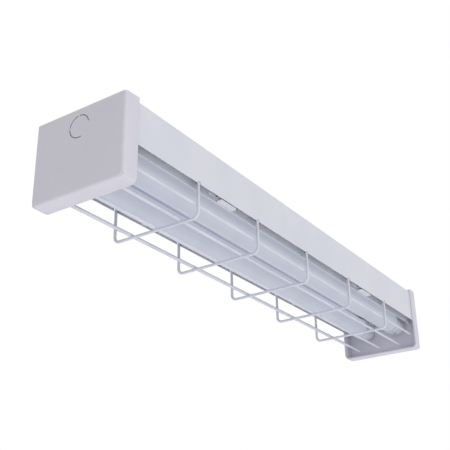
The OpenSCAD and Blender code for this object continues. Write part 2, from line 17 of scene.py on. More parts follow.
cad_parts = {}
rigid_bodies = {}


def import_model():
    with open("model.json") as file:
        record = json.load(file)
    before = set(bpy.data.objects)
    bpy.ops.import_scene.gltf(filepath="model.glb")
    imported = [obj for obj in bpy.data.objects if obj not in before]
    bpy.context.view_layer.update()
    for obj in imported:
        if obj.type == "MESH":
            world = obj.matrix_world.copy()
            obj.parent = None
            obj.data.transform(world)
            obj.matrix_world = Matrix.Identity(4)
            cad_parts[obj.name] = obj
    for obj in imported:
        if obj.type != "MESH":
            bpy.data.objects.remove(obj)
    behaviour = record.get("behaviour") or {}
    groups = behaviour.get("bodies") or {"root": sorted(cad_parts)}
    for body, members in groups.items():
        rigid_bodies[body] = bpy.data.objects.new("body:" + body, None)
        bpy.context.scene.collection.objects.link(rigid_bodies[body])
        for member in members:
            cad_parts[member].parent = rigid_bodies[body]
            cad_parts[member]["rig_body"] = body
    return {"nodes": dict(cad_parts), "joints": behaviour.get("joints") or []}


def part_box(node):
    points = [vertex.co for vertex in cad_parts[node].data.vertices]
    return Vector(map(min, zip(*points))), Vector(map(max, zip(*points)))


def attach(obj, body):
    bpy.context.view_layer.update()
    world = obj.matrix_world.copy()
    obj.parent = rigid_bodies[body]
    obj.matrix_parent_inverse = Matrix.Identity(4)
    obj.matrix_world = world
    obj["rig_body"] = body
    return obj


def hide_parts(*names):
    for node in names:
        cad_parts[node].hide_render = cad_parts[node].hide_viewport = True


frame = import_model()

MM = 0.001
QUARTER = math.pi / 2
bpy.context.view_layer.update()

# %% [markdown]
# ## The camera
# The camera stands below the light and in front of its near end, and looks up along it. It is
# held by the place that it stands at, the point that it looks at and a small roll, so that each
# can be changed alone. Lens and sensor are in millimetres, as a camera maker gives them, and
# everything else is in metres.

# %% Camera
CAMERA_PLACE = Vector((-757.7, -450.8, -402.0)) * MM
CAMERA_AIM = Vector((-87.2, 0, -28.8)) * MM
CAMERA_ROLL = math.radians(-0.95)
LENS = 66.15
SENSOR = 36
NEAREST_SEEN = 10 * MM

camera_data = bpy.data.cameras.new("camera")
camera_data.lens = LENS
camera_data.sensor_width = SENSOR
camera_data.clip_start = NEAREST_SEEN
camera = bpy.data.objects.new("camera", camera_data)
bpy.context.scene.collection.objects.link(camera)
camera.location = CAMERA_PLACE
camera.rotation_mode = "QUATERNION"
towards = (CAMERA_AIM - CAMERA_PLACE).to_track_quat("-Z", "Y")
camera.rotation_quaternion = towards @ Quaternion((0, 0, 1), CAMERA_ROLL)
bpy.context.scene.camera = camera
print("camera", round((CAMERA_AIM - CAMERA_PLACE).length, 2), "m from its aim")

# %% [markdown]
# ## Small helpers for edit mode
# Every operator acts on what is selected. So a piece is opened alone, its faces or edges are
# picked by where they lie, and the operator follows. The helpers keep that in one place. Each
# piece ends with its object at the origin and its place in its mesh, as the solids of the frame
# have it.
#
# Three small numbers serve all of them. HAIR is the slack of a test on a place, points closer
# than MERGE become one, and a face looks along an axis if its normal has more than FACING of it.

# %% Edit helpers
HAIR = 0.1 * MM
MERGE = 0.001 * MM
FACING = 0.9


def choose(*pieces):
    """Selects these objects alone, and makes the first one active."""
    bpy.ops.object.select_all(action="DESELECT")
    for piece in pieces:
        piece.select_set(True)
    bpy.context.view_layer.objects.active = pieces[0]


def open_edit(piece):
    """Opens this piece alone in edit mode."""
    choose(piece)
    bpy.ops.object.mode_set(mode="EDIT")


def close_edit():
    """Leaves edit mode, which writes the changes to the piece's mesh."""
    bpy.ops.object.mode_set(mode="OBJECT")


def pick(piece, kind, test):
    """Selects the "verts", "edges" or "faces" of the open piece that pass test, and counts them."""
    bpy.ops.mesh.select_mode(type={"verts": "VERT", "edges": "EDGE", "faces": "FACE"}[kind])
    bpy.ops.mesh.select_all(action="DESELECT")
    mesh = bmesh.from_edit_mesh(piece.data)
    chosen = [item for item in getattr(mesh, kind) if test(item)]
    for item in chosen:
        item.select_set(True)
    mesh.select_flush_mode()
    bmesh.update_edit_mesh(piece.data)
    return len(chosen)


def runs_along(edge):
    """True for an edge whose ends lie at different places along the light."""
    return abs(edge.verts[0].co.x - edge.verts[1].co.x) > HAIR


def round_edges(piece, radius, segments, test):
    """Bevels the edges of the open piece that pass test, and counts them."""
    count = pick(piece, "edges", test)
    if count:
        bpy.ops.mesh.bevel(offset=radius, segments=segments, affect="EDGES", clamp_overlap=True)
    return count


def spin_selected(angle, centre, axis, steps):
    """Sweeps the selected faces about an axis by the right hand rule."""
    # The spin tool turns the other way, so it is given the axis reversed.
    bpy.ops.mesh.spin(steps=steps, angle=angle, center=centre, axis=[-part for part in axis])


def merge_all():
    """Selects all of the open piece and makes one of the points that lie together."""
    bpy.ops.mesh.select_all(action="SELECT")
    bpy.ops.mesh.remove_doubles(threshold=MERGE)


def tidy_normals(piece):
    """Turns every face of the piece outwards, once its doubles are merged."""
    open_edit(piece)
    merge_all()
    bpy.ops.mesh.normals_make_consistent(inside=False)
    close_edit()


# %% [markdown]
# ## Primitives, modifiers and booleans
# A piece starts as a primitive at its own size and place. Blender keeps that place in the object,
# so it is moved into the mesh. A modifier or a boolean is applied at once, because the next step
# works on its result.


# %% New pieces
def named(name):
    """Names the new piece and puts its place into its mesh."""
    piece = bpy.context.object
    piece.name = name
    piece.data.name = name
    bpy.ops.object.transform_apply(location=True, rotation=True, scale=True)
    return piece


def add_block(name, low, high):
    """A block between its lowest and its highest corner."""
    middle = [(a + b) / 2 for a, b in zip(low, high)]
    size = [b - a for a, b in zip(low, high)]
    bpy.ops.object.select_all(action="DESELECT")
    bpy.ops.mesh.primitive_cube_add(size=1, location=middle, scale=size)
    return named(name)


def add_rod(name, low_x, high_x, y, z, radius, sides, ends="NGON"):
    """A rod or open pipe along X."""
    bpy.ops.object.select_all(action="DESELECT")
    bpy.ops.mesh.primitive_cylinder_add(
        vertices=sides, radius=radius, depth=high_x - low_x, end_fill_type=ends,
        location=((low_x + high_x) / 2, y, z), rotation=(0, QUARTER, 0),
    )
    return named(name)


def apply_modifier(piece, kind, **settings):
    """Gives the piece a modifier with these settings, and applies it."""
    choose(piece)
    modifier = piece.modifiers.new(kind.title(), kind)
    for key, value in settings.items():
        setattr(modifier, key, value)
    bpy.ops.object.modifier_apply(modifier=modifier.name)


def give_wall(piece, thickness):
    """Gives an open shell a wall of even thickness on its inner side."""
    apply_modifier(
        piece, "SOLIDIFY", thickness=thickness, offset=-1, use_even_offset=True, use_rim=True
    )


def combine(piece, other, operation):
    """Joins another solid to the piece, or cuts it out, and deletes the other."""
    apply_modifier(piece, "BOOLEAN", operation=operation, object=other, solver="EXACT")
    bpy.data.objects.remove(other)


# %% [markdown]
# ## Copies, shading and a report
# What repeats is modelled once and copied, each copy with its own mesh. The other end of the
# light is a mirror image, and a mirror turns a mesh inside out, so its faces are turned outwards
# again. The report shows at once whether a mesh is closed.

# %% Copies and shading
SMOOTH_DEGREES = 30


def copy_of(piece, name):
    """A copy with its own mesh."""
    twin = piece.copy()
    twin.data = piece.data.copy()
    twin.name = name
    twin.data.name = name
    bpy.context.scene.collection.objects.link(twin)
    return twin


def moved_copy(piece, name, move):
    """A copy whose mesh lies this much further on."""
    twin = copy_of(piece, name)
    twin.location = move
    choose(twin)
    bpy.ops.object.transform_apply(location=True)
    return twin


def mirrored_copy(piece, name):
    """A copy for the light's other end, with its faces pointing outwards."""
    twin = copy_of(piece, name)
    twin.scale = (-1, 1, 1)
    choose(twin)
    bpy.ops.object.transform_apply(scale=True)
    tidy_normals(twin)
    return twin


def smooth(piece, degrees=SMOOTH_DEGREES):
    """Shades the piece smooth across every edge that turns less than this."""
    choose(piece)
    bpy.ops.object.shade_smooth_by_angle(angle=math.radians(degrees))


def report(piece):
    """Prints what a piece came to: its faces, its open edges and its volume."""
    mesh = bmesh.new()
    mesh.from_mesh(piece.data)
    open_edges = sum(not edge.is_manifold for edge in mesh.edges)
    volume = mesh.calc_volume(signed=True) / MM**3 / 1000
    print(f"{piece.name}: {len(mesh.faces)} faces, {open_edges} open edges, {volume:.2f} cm3")
    mesh.free()


# %% [markdown]
# ## Colour and node helpers
# A colour is picked as an sRGB hex value, which is what an eye or a screen reads, and Blender's
# sockets want linear light. One function turns the first into the second. Another adds a node
# with its settings and its links, so that a material reads as a list of what feeds what.


# %% Colour and nodes
def linear(hex_code):
    """An sRGB hex colour as linear red, green, blue and alpha, by the curve of that standard."""
    values = [int(hex_code[i : i + 2], 16) / 255 for i in (0, 2, 4)]
    curved = [v / 12.92 if v <= 0.04045 else ((v + 0.055) / 1.055) ** 2.4 for v in values]
    return curved + [1.0]


def add_node(tree, kind, inputs=None, **settings):
    """A new node whose inputs are values or the sockets of other nodes."""
    made = tree.nodes.new(kind)
    for key, value in settings.items():
        setattr(made, key, value)
    for socket, value in (inputs or {}).items():
        if isinstance(value, bpy.types.NodeSocket):
            tree.links.new(value, made.inputs[socket])
        else:
            made.inputs[socket].default_value = value
    return made


# %% [markdown]
# ## How a finish is built
# Every finish of this light is built in the same way. A wide noise drifts its tint and its gloss
# between two values each, and a fine noise is the grain that a low bump raises. The sizes of both
# are millimetres on the real object. Most of a noise lies between DRIFT_LOW and DRIFT_HIGH, so
# the two values stand at these. What makes one finish plastic and another metal goes to the
# shader's own sockets.

# %% Finish helpers
DRIFT_LOW, DRIFT_HIGH = 0.35, 0.65


def per_metre(size_mm):
    """The scale of a noise whose features are about this size."""
    return 1 / (size_mm * MM)


def make_finish(
    name, light, shade, drift_mm, grain_mm, relief_mm, rough, stretch=(1, 1, 1), **shader
):
    """A surface whose tint and gloss drift between two values, with a fine grain as its relief."""
    material = bpy.data.materials.new(name)
    material.use_nodes = True
    tree = material.node_tree
    tree.nodes.clear()
    place = add_node(tree, "ShaderNodeTexCoord").outputs["Object"]
    drawn = add_node(
        tree, "ShaderNodeMapping", {"Vector": place, "Scale": stretch}
    ).outputs["Vector"]
    drift = add_node(
        tree, "ShaderNodeTexNoise", {"Vector": drawn, "Scale": per_metre(drift_mm), "Detail": 3.0}
    ).outputs["Fac"]
    tint = add_node(tree, "ShaderNodeValToRGB", {"Fac": drift})
    stops = tint.color_ramp.elements
    for stop, level, colour in zip(stops, (DRIFT_LOW, DRIFT_HIGH), (shade, light)):
        stop.position = level
        stop.color = linear(colour)
    gloss = add_node(
        tree, "ShaderNodeMapRange",
        {
            "Value": drift, "From Min": DRIFT_LOW, "From Max": DRIFT_HIGH,
            "To Min": rough[0], "To Max": rough[1],
        },
    )
    grain = add_node(
        tree, "ShaderNodeTexNoise", {"Vector": drawn, "Scale": per_metre(grain_mm), "Detail": 2.0}
    )
    relief = add_node(
        tree, "ShaderNodeBump",
        {"Height": grain.outputs["Fac"], "Distance": relief_mm * MM, "Strength": 1.0},
    )
    values = {socket.replace("_", " "): value for socket, value in shader.items()}
    principled = add_node(
        tree, "ShaderNodeBsdfPrincipled",
        {
            "Base Color": tint.outputs["Color"], "Roughness": gloss.outputs["Result"],
            "Normal": relief.outputs["Normal"], **values,
        },
    )
    add_node(tree, "ShaderNodeOutputMaterial", {"Surface": principled.outputs["BSDF"]})
    print(f"{name}: {len(tree.nodes)} nodes, grain {grain_mm} mm")
    return material


# %% [markdown]
# ## Stoved enamel on folded steel
# The channel and the tray are sheet steel that is sprayed with white powder and stoved, so that
# it melts and flows. The skin that this leaves is not flat: it has a low orange peel with bumps
# two or three millimetres apart, which breaks up the edge of a reflection. The white is a cold
# one. A noise of that size drives a very low bump, and a much wider one drifts the tint, as the
# thickness of the powder does.

# %% Enamel
channel_enamel = make_finish(
    "stoved_enamel_on_channel", "E0E1EA", "DADCE8", drift_mm=60, grain_mm=2.4, relief_mm=0.012,
    rough=(0.34, 0.42), IOR=1.5,
)
tray_enamel = make_finish(
    "stoved_enamel_on_tray", "EEF1F8", "E8ECF5", drift_mm=45, grain_mm=2.0, relief_mm=0.012,
    rough=(0.28, 0.36), IOR=1.5,
)

# %% [markdown]
# ## Moulded plastics
# The end caps, the latches, the lampholders and their rotors are injection moulded. The mould of
# a cap is spark eroded, which leaves a dull, even grain of about a third of a millimetre. The
# small pieces come from polished moulds and shine more. The grain is drawn a little coarser than
# it is, so that it shows at all.

# %% Plastics
cap_plastic = make_finish(
    "spark_eroded_white_plastic", "DCDAE5", "D7D5E1", drift_mm=50, grain_mm=0.5, relief_mm=0.02,
    rough=(0.46, 0.56), IOR=1.53,
)
latch_plastic = make_finish(
    "polished_white_nylon", "E4E6EC", "DDDFE7", drift_mm=8, grain_mm=1.2, relief_mm=0.006,
    rough=(0.24, 0.32), IOR=1.53,
)
holder_plastic = make_finish(
    "white_polycarbonate", "DCDEE6", "D5D8E1", drift_mm=12, grain_mm=0.8, relief_mm=0.006,
    rough=(0.3, 0.38), IOR=1.58,
)
rotor_plastic = make_finish(
    "grey_white_polyester", "C9CCD6", "C1C5D0", drift_mm=6, grain_mm=0.6, relief_mm=0.006,
    rough=(0.34, 0.42), IOR=1.56,
)
terminal_plastic = make_finish(
    "natural_nylon", "E9E4D2", "DFD8C2", drift_mm=6, grain_mm=0.5, relief_mm=0.008,
    rough=(0.35, 0.45), IOR=1.53,
)

# %% [markdown]
# ## Dipped wire
# The guard is welded from drawn steel wire and then coated white. On a thin wire the coat gathers
# in slow swellings along it, and it is shinier than on sheet. The noise is stretched along the
# light for that.

# %% Wire coat
guard_coat = make_finish(
    "dipped_white_coat_on_wire", "D8DAE6", "CFD1DE", drift_mm=14, grain_mm=1.6, relief_mm=0.02,
    rough=(0.28, 0.38), stretch=(0.5, 1, 1), IOR=1.5,
)

# %% [markdown]
# ## Opal glass
# A tube of this kind is glass with a milky coat inside. Light that enters it spreads inside and
# comes out all round, so the shaded side of a tube is hardly darker than the lit one. That spread
# light is painted in as a weak plain glow in the tube's own pale blue, though the tube is not
# switched on, and the body colour is made darker by the share that the glow adds. The body is
# left dull, and a thin coat layer gives it the skin of the glass.

# %% Glass
# Painted light: a grey body and a weak glow, so that the tube's shaded side looks lit.
opal_glass = make_finish(
    "opal_glass", "92959F", "8E929D", drift_mm=90, grain_mm=30, relief_mm=0.01, rough=(0.42, 0.5),
    IOR=1.4, Coat_Weight=0.1, Coat_Roughness=0.08, Coat_IOR=1.52,
    Emission_Color=linear("DCE0EE"), Emission_Strength=0.39,
)
tube_cap_plastic = make_finish(
    "satin_tube_cap_plastic", "CBCFDD", "C5C9D8", drift_mm=10, grain_mm=0.5, relief_mm=0.008,
    rough=(0.36, 0.44), IOR=1.55,
)

# %% [markdown]
# ## Metals
# The pins are brass with a thin bright nickel plate, the clips are spring steel with a zinc
# plate, the contacts are bronze strip and the clamp screws are turned brass. A plated strip keeps
# the fine lines of its rolling, so the noise of the steel is drawn out along the light. The lines
# are drawn a few times coarser than they are, so that they show. The metals keep the default
# refraction and get their look from colour, roughness and those lines.

# %% Metals
zinc_steel = make_finish(
    "zinc_plated_spring_steel", "B9BCC2", "9FA3AB", drift_mm=3, grain_mm=0.4, relief_mm=0.006,
    rough=(0.26, 0.4), stretch=(0.1, 1, 1), Metallic=1.0,
)
nickel_pins = make_finish(
    "nickel_plated_brass", "C9C6BE", "B9B5AC", drift_mm=2, grain_mm=0.3, relief_mm=0.003,
    rough=(0.16, 0.26), stretch=(1, 4, 4), Metallic=1.0,
)
contact_bronze = make_finish(
    "rolled_bronze_strip", "C79A5B", "A87B42", drift_mm=2, grain_mm=0.3, relief_mm=0.004,
    rough=(0.28, 0.4), stretch=(0.3, 1, 1), Metallic=1.0,
)
terminal_brass = make_finish(
    "turned_brass", "D3B062", "B8924A", drift_mm=1.5, grain_mm=0.25, relief_mm=0.004,
    rough=(0.24, 0.36), Metallic=1.0,
)
zinc_screw = make_finish(
    "zinc_plated_screw", "BDC0C4", "A4A8AE", drift_mm=1.5, grain_mm=0.25, relief_mm=0.004,
    rough=(0.24, 0.38), Metallic=1.0,
)

# %% [markdown]
# ## Boards, leads and rubber
# The board of light sources has a white solder mask and the supply board a green one, both a thin
# glossy resin over woven glass. The leads have a soft vinyl cover, and the ring in the cable
# entry is black rubber, which is the dullest thing on the light.

# %% Boards and leads
led_board = make_finish(
    "white_solder_mask", "ECEDEB", "E0E1DD", drift_mm=6, grain_mm=0.6, relief_mm=0.01,
    rough=(0.3, 0.4), IOR=1.5,
)
driver_board = make_finish(
    "green_solder_mask", "2F7A4C", "24623C", drift_mm=5, grain_mm=0.6, relief_mm=0.02,
    rough=(0.3, 0.42), IOR=1.5,
)
live_lead = make_finish(
    "brown_vinyl_cover", "6E4326", "5B361D", drift_mm=4, grain_mm=0.5, relief_mm=0.01,
    rough=(0.4, 0.5), IOR=1.52,
)
neutral_lead = make_finish(
    "blue_vinyl_cover", "2F66A8", "275790", drift_mm=4, grain_mm=0.5, relief_mm=0.01,
    rough=(0.4, 0.5), IOR=1.52,
)
grommet_rubber = make_finish(
    "black_rubber", "37383A", "2A2B2D", drift_mm=4, grain_mm=0.4, relief_mm=0.02,
    rough=(0.6, 0.75), IOR=1.5,
)

# %% [markdown]
# ## Handing a piece over
# A new piece takes the finish of a material slot, moves with one body of the frame, and hides the
# solids that it replaces.

# %% Hand over
MATERIALS = {
    "housing_enamel": channel_enamel, "tray_enamel": tray_enamel, "cap_plastic": cap_plastic,
    "latch_plastic": latch_plastic, "guard_wire": guard_coat, "spring_steel": zinc_steel,
    "holder_plastic": holder_plastic, "rotor_plastic": rotor_plastic,
    "contact_bronze": contact_bronze, "opal_glass": opal_glass,
    "tube_cap_plastic": tube_cap_plastic, "pin_metal": nickel_pins, "led_board": led_board,
    "driver_board": driver_board, "terminal_plastic": terminal_plastic,
    "terminal_brass": terminal_brass, "zinc_screw": zinc_screw, "live_lead": live_lead,
    "neutral_lead": neutral_lead, "grommet_rubber": grommet_rubber,
}


def hand_over(piece, slot, *nodes, body=None):
    """Finishes a piece in the material of a slot, and lets it stand for these nodes."""
    piece.data.materials.clear()
    piece.data.materials.append(MATERIALS[slot])
    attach(piece, body or frame["nodes"][nodes[0]]["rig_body"])
    if nodes:
        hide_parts(*nodes)
    report(piece)


print(len(MATERIALS), "slots have a finish")

# %% [markdown]
# ## End cap: the outer shape
# A cap is one moulding: a box that is open towards the light, with drafted walls so that it
# leaves its mould, round lower corners and a soft edge round its outer face. It could be drawn as
# an outline and lofted. Here it starts as a block that loses its open face, has its corners and
# edges bevelled and then gets its wall by Solidify, because that keeps the wall even round every
# curve.

# %% Cap shell
CAP_WALL = 2 * MM
CAP_TOP_WALL = 2.4 * MM
CAP_CORNER_R = 7 * MM
CAP_EDGE_R = 3 * MM
CAP_DRAFT = 0.8 * MM
RIM_R = 0.35 * MM
CORNER_STEPS = 10
EDGE_STEPS = 6
RIM_STEPS = 2

cap_low, cap_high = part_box("end_cap_near")
half_w = cap_high.y
cap = add_block("cap_near", cap_low, cap_high)
open_edit(cap)
pick(cap, "faces", lambda face: face.normal.x > FACING)
bpy.ops.mesh.delete(type="FACE")
round_edges(
    cap, CAP_CORNER_R, CORNER_STEPS,
    lambda e: runs_along(e) and all(v.co.z < cap_low.z + HAIR for v in e.verts),
)
round_edges(
    cap, CAP_EDGE_R, EDGE_STEPS,
    lambda e: all(v.co.x < cap_low.x + HAIR for v in e.verts)
    and any(v.co.z < -HAIR for v in e.verts),
)
close_edit()
give_wall(cap, CAP_WALL)
report(cap)

# %% [markdown]
# ## End cap: top wall, draft and rim
# Three small moves finish the shell. The inner side of the top wall goes down a little, because
# that wall is thicker. The outer face and its round edge are drawn in by the draft while the
# inside stays straight. Last, the sharp corners of the rim are broken, as a mould maker would,
# and what that lifts over the ceiling plane is pressed back to it.

# %% Cap walls
open_edit(cap)
pick(cap, "verts", lambda v: v.co.z > -HAIR)
bpy.ops.transform.resize(value=(1, 1, 0), center_override=(0, 0, 0))
pick(cap, "verts", lambda v: abs(v.co.z + CAP_WALL) < HAIR)
bpy.ops.transform.translate(value=(0, 0, CAP_WALL - CAP_TOP_WALL))


def on_outer_end(vert):
    """True for the outer side of the shell near its closed end."""
    beside = abs(vert.co.y) > half_w - CAP_WALL / 2 or vert.co.z < cap_low.z + CAP_WALL / 2
    in_face = vert.co.x < cap_low.x + CAP_WALL / 2
    return in_face or (beside and vert.co.x < cap_low.x + CAP_EDGE_R + HAIR)


pick(cap, "verts", on_outer_end)
bpy.ops.transform.resize(value=(1, 1 - CAP_DRAFT / half_w, 1), center_override=(0, 0, 0))
pick(cap, "verts", lambda v: on_outer_end(v) and v.co.z < cap_low.z / 2)
bpy.ops.transform.translate(value=(0, 0, CAP_DRAFT))
round_edges(
    cap, RIM_R, RIM_STEPS, lambda e: all(v.co.x > cap_high.x - HAIR / 10 for v in e.verts)
)
lifted = pick(cap, "verts", lambda v: v.co.z > 0)
bpy.ops.transform.resize(value=(1, 1, 0), center_override=(0, 0, 0))
close_edit()
print("corner points pressed back to the ceiling plane:", lifted)
report(cap)

# %% [markdown]
# ## End cap: ledge, rib and snap fingers
# Inside the lower part runs a ledge that stiffens the wall, with a small rib in the middle of its
# floor. Two fingers with barbs reach into the channel and snap into slots in its top. Each is
# shaped by itself and then joined by a boolean union, so that the cap stays one closed solid. It
# sinks into the wall a little, because a union of faces that only touch can leave a seam.

# %% Cap ledge
LIP_T = 1.6 * MM
LIP_RECESS = 3 * MM
LIP_BELOW_PANEL = 1.5 * MM
RIB_T = 1.2 * MM
SINK = 0.4 * MM

body_low, body_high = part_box("body")
wall_in = half_w - CAP_WALL
floor_z = cap_low.z + CAP_WALL
inner_x = cap_low.x + CAP_WALL
lip_x = cap_high.x - LIP_RECESS
ledge = add_block(
    "ledge", (inner_x - SINK, -wall_in - SINK, floor_z - SINK),
    (lip_x, wall_in + SINK, body_low.z - LIP_BELOW_PANEL),
)
open_edit(ledge)
pick(ledge, "faces", lambda face: face.normal.z > FACING or abs(face.normal.x) > FACING)
bpy.ops.mesh.delete(type="FACE")
round_edges(
    ledge, CAP_CORNER_R - CAP_WALL + SINK, CORNER_STEPS,
    lambda e: runs_along(e) and all(v.co.z < floor_z for v in e.verts),
)
close_edit()
give_wall(ledge, LIP_T + SINK)
combine(cap, ledge, "UNION")
rib = add_block(
    "rib", (inner_x - SINK, -RIB_T / 2, floor_z - SINK), (lip_x, RIB_T / 2, floor_z + 2 * LIP_T)
)
combine(cap, rib, "UNION")
report(cap)

# %% Snap fingers
FINGER_W = 8 * MM
FINGER_LEN = 14 * MM
FINGER_T = 1.6 * MM
FINGER_Y = 25 * MM
FINGER_GAP = 0.8 * MM
BARB_LEN = 4 * MM
BARB_H = 0.6 * MM

finger_top = body_high.z - CAP_TOP_WALL - FINGER_GAP
barb_x = inner_x + FINGER_LEN - BARB_LEN
for side in (-1, 1):
    finger = add_block(
        "finger", (inner_x - SINK, side * FINGER_Y - FINGER_W / 2, finger_top - FINGER_T),
        (inner_x + FINGER_LEN, side * FINGER_Y + FINGER_W / 2, finger_top),
    )
    open_edit(finger)
    bpy.ops.mesh.select_all(action="SELECT")
    bpy.ops.mesh.bisect(plane_co=(barb_x, 0, 0), plane_no=(1, 0, 0))
    pick(
        finger, "faces",
        lambda face: face.normal.z > FACING and face.calc_center_median().x > barb_x,
    )
    bpy.ops.mesh.extrude_region_move(TRANSFORM_OT_translate={"value": (0, 0, BARB_H)})
    pick(finger, "verts", lambda v: v.co.z > finger_top + HAIR and v.co.x > barb_x + HAIR)
    bpy.ops.transform.translate(value=(0, 0, -BARB_H))
    merge_all()
    close_edit()
    combine(cap, finger, "UNION")
report(cap)

# %% [markdown]
# ## End cap: the knockout ring
# A knockout is a disc that stays in the wall until an installer needs a cable there. A narrow
# groove is moulded round it and small webs interrupt the groove, so that it breaks out with a
# tap. A little oblong is spun through each arc, which is given in degrees, and the ring that this
# draws is cut out of the face.

# %% Knockout
KNOCKOUT_R = 11.1 * MM
KNOCKOUT_Z = -18 * MM
SCORE_W = 1 * MM
SCORE_DEPTH = 1.2 * MM
SCORE_ARCS = [(12, 90), (98, 172), (180, 285)]
STEP_DEGREES = 6

knockout_centre = Vector((cap_low.x, 0, KNOCKOUT_Z))
for start, stop in SCORE_ARCS:
    turn = math.radians(start)
    reach = KNOCKOUT_R * Vector((0, -math.cos(turn), math.sin(turn)))
    bpy.ops.object.select_all(action="DESELECT")
    bpy.ops.mesh.primitive_plane_add(
        size=1, location=knockout_centre + reach, rotation=(-turn, 0, 0)
    )
    bpy.context.object.scale = (2 * SCORE_DEPTH, SCORE_W, 1)
    groove = named("groove")
    open_edit(groove)
    bpy.ops.mesh.select_all(action="SELECT")
    spin_selected(
        math.radians(stop - start), knockout_centre, (-1, 0, 0),
        round((stop - start) / STEP_DEGREES),
    )
    close_edit()
    tidy_normals(groove)
    combine(cap, groove, "DIFFERENCE")
report(cap)

# %% [markdown]
# ## End cap: painted shade in the groove
# The narrow groove gets a darker grey, which is painted shade and makes it show from afar. Two
# masks meet there: a ring about the middle of the knockout, and a slice just behind the outer
# face. Both are worked out from the place in the piece, so the same mask serves the caps at both
# ends. Where it is one, a mix node puts the painted shade in the place of the plastic's own tint.

# %% Groove shade
GROOVE_SHADE_GREY = "A8A5B1"
RING_REACH = 0.6 * SCORE_W

tree = cap_plastic.node_tree
place = add_node(tree, "ShaderNodeTexCoord").outputs["Object"]
in_face = add_node(
    tree, "ShaderNodeMapping",
    {"Vector": place, "Location": (0, 0, -KNOCKOUT_Z), "Scale": (0, 1, 1)},
).outputs["Vector"]
from_centre = add_node(
    tree, "ShaderNodeVectorMath", {0: in_face}, operation="LENGTH"
).outputs["Value"]
on_ring = add_node(
    tree, "ShaderNodeMath", {0: from_centre, 1: KNOCKOUT_R, 2: RING_REACH}, operation="COMPARE"
).outputs[0]
along = add_node(tree, "ShaderNodeSeparateXYZ", {"Vector": place}).outputs["X"]
outwards = add_node(tree, "ShaderNodeMath", {0: along}, operation="ABSOLUTE").outputs[0]
slice_x = -cap_low.x - SCORE_DEPTH / 2 - HAIR
sunk = add_node(
    tree, "ShaderNodeMath", {0: outwards, 1: slice_x, 2: SCORE_DEPTH / 2}, operation="COMPARE"
).outputs[0]
in_groove = add_node(
    tree, "ShaderNodeMath", {0: on_ring, 1: sunk}, operation="MULTIPLY"
).outputs[0]
principled = next(node for node in tree.nodes if node.type == "BSDF_PRINCIPLED")
own_tint = principled.inputs["Base Color"].links[0].from_socket
# Painted shade: the groove's floor is drawn darker than the plastic round it.
groove_shaded = add_node(
    tree, "ShaderNodeMix", {"Factor": in_groove, 6: own_tint, 7: linear(GROOVE_SHADE_GREY)}, data_type="RGBA"
)
tree.links.new(groove_shaded.outputs[2], principled.inputs["Base Color"])
print("cap material", len(tree.nodes), "nodes")

# %% Caps in place
smooth(cap)
cap_far = mirrored_copy(cap, "cap_far")
smooth(cap_far)
hand_over(cap, "cap_plastic", "end_cap_near")
hand_over(cap_far, "cap_plastic", "end_cap_far")

# %% [markdown]
# ## Dressing a folded sheet
# The channel and the tray have the right shape but the sharp edges of a drawing. A press brake
# can't fold a sharp edge: the outside of a fold has a radius of about one and a half times the
# sheet, and a cut edge is rounded by its paint. So a copy of the solid is merged, its long folds
# get that radius, its cut edges a much smaller one, and the copy takes the solid's place. A small
# bevel beside a large flat face would tilt the shading of the whole face, so the large faces are
# given the greater weight.

# %% Dress a copy
SHEET = 0.7 * MM
FOLD_R = 1.2 * MM
INNER_FOLD_R = 0.5 * MM
CUT_R = 0.25 * MM
SMALL_STEPS = 3
FLAT_DEGREES = 0.5


def dress_copy(node, name, split=False):
    """A merged copy of a node's solid with whole flat faces; split cuts up the hollow ones."""
    piece = bpy.data.objects.new(name, frame["nodes"][node].data.copy())
    piece.data.name = name
    bpy.context.scene.collection.objects.link(piece)
    open_edit(piece)
    merge_all()
    bpy.ops.mesh.dissolve_limited(angle_limit=math.radians(FLAT_DEGREES))
    if split:
        bpy.ops.mesh.vert_connect_concave()
    close_edit()
    return piece


def smooth_dressed(piece):
    """Smooth shading in which the large flat faces stay flat beside their bevels."""
    smooth(piece)
    apply_modifier(piece, "WEIGHTED_NORMAL", keep_sharp=True)


def is_fold(edge, y, z):
    """True for an edge along the light that is this far from its middle and at this height."""
    beside = all(abs(abs(v.co.y) - y) < HAIR and abs(v.co.z - z) < HAIR for v in edge.verts)
    return beside and runs_along(edge)


def round_folds(piece, y, top, bottom, steps):
    """Rounds the folds at the top of an upturned trough and the cut edges at its bottom."""
    outer = round_edges(piece, FOLD_R, steps, lambda e: is_fold(e, y, top))
    inner = round_edges(
        piece, INNER_FOLD_R, SMALL_STEPS, lambda e: is_fold(e, y - SHEET, top - SHEET)
    )
    cut = round_edges(
        piece, CUT_R, SMALL_STEPS, lambda e: is_fold(e, y, bottom) or is_fold(e, y - SHEET, bottom)
    )
    print(f"{piece.name}: {outer} outer folds, {inner} inner folds, {cut} cut edges")


# %% [markdown]
# ## The channel
# The channel's top folds carry the widest radius. The lower edge of each side panel is a bare cut
# edge under paint. The two pads for the ceiling screws are pressed up out of the top, and the
# metal flows into them in a soft curve. Their edges are the steep ones near the middle of the
# channel's highest face, and the short sides of the screw holes are left out.

# %% Channel
PAD_R = 0.9 * MM
PAD_STEPS = 4
PAD_REACH = 20 * MM
SHORTEST_PAD_EDGE = 1 * MM
STEEP_RADIANS = 1
CHANNEL_FOLD_STEPS = 5

channel = dress_copy("body", "channel", split=True)
open_edit(channel)
round_folds(channel, body_high.y, body_high.z - CAP_TOP_WALL, body_low.z, CHANNEL_FOLD_STEPS)


def on_pad(vert):
    """True for a point in the top face of one of the two pads."""
    return abs(vert.co.z - body_high.z) < HAIR and abs(vert.co.y) < PAD_REACH


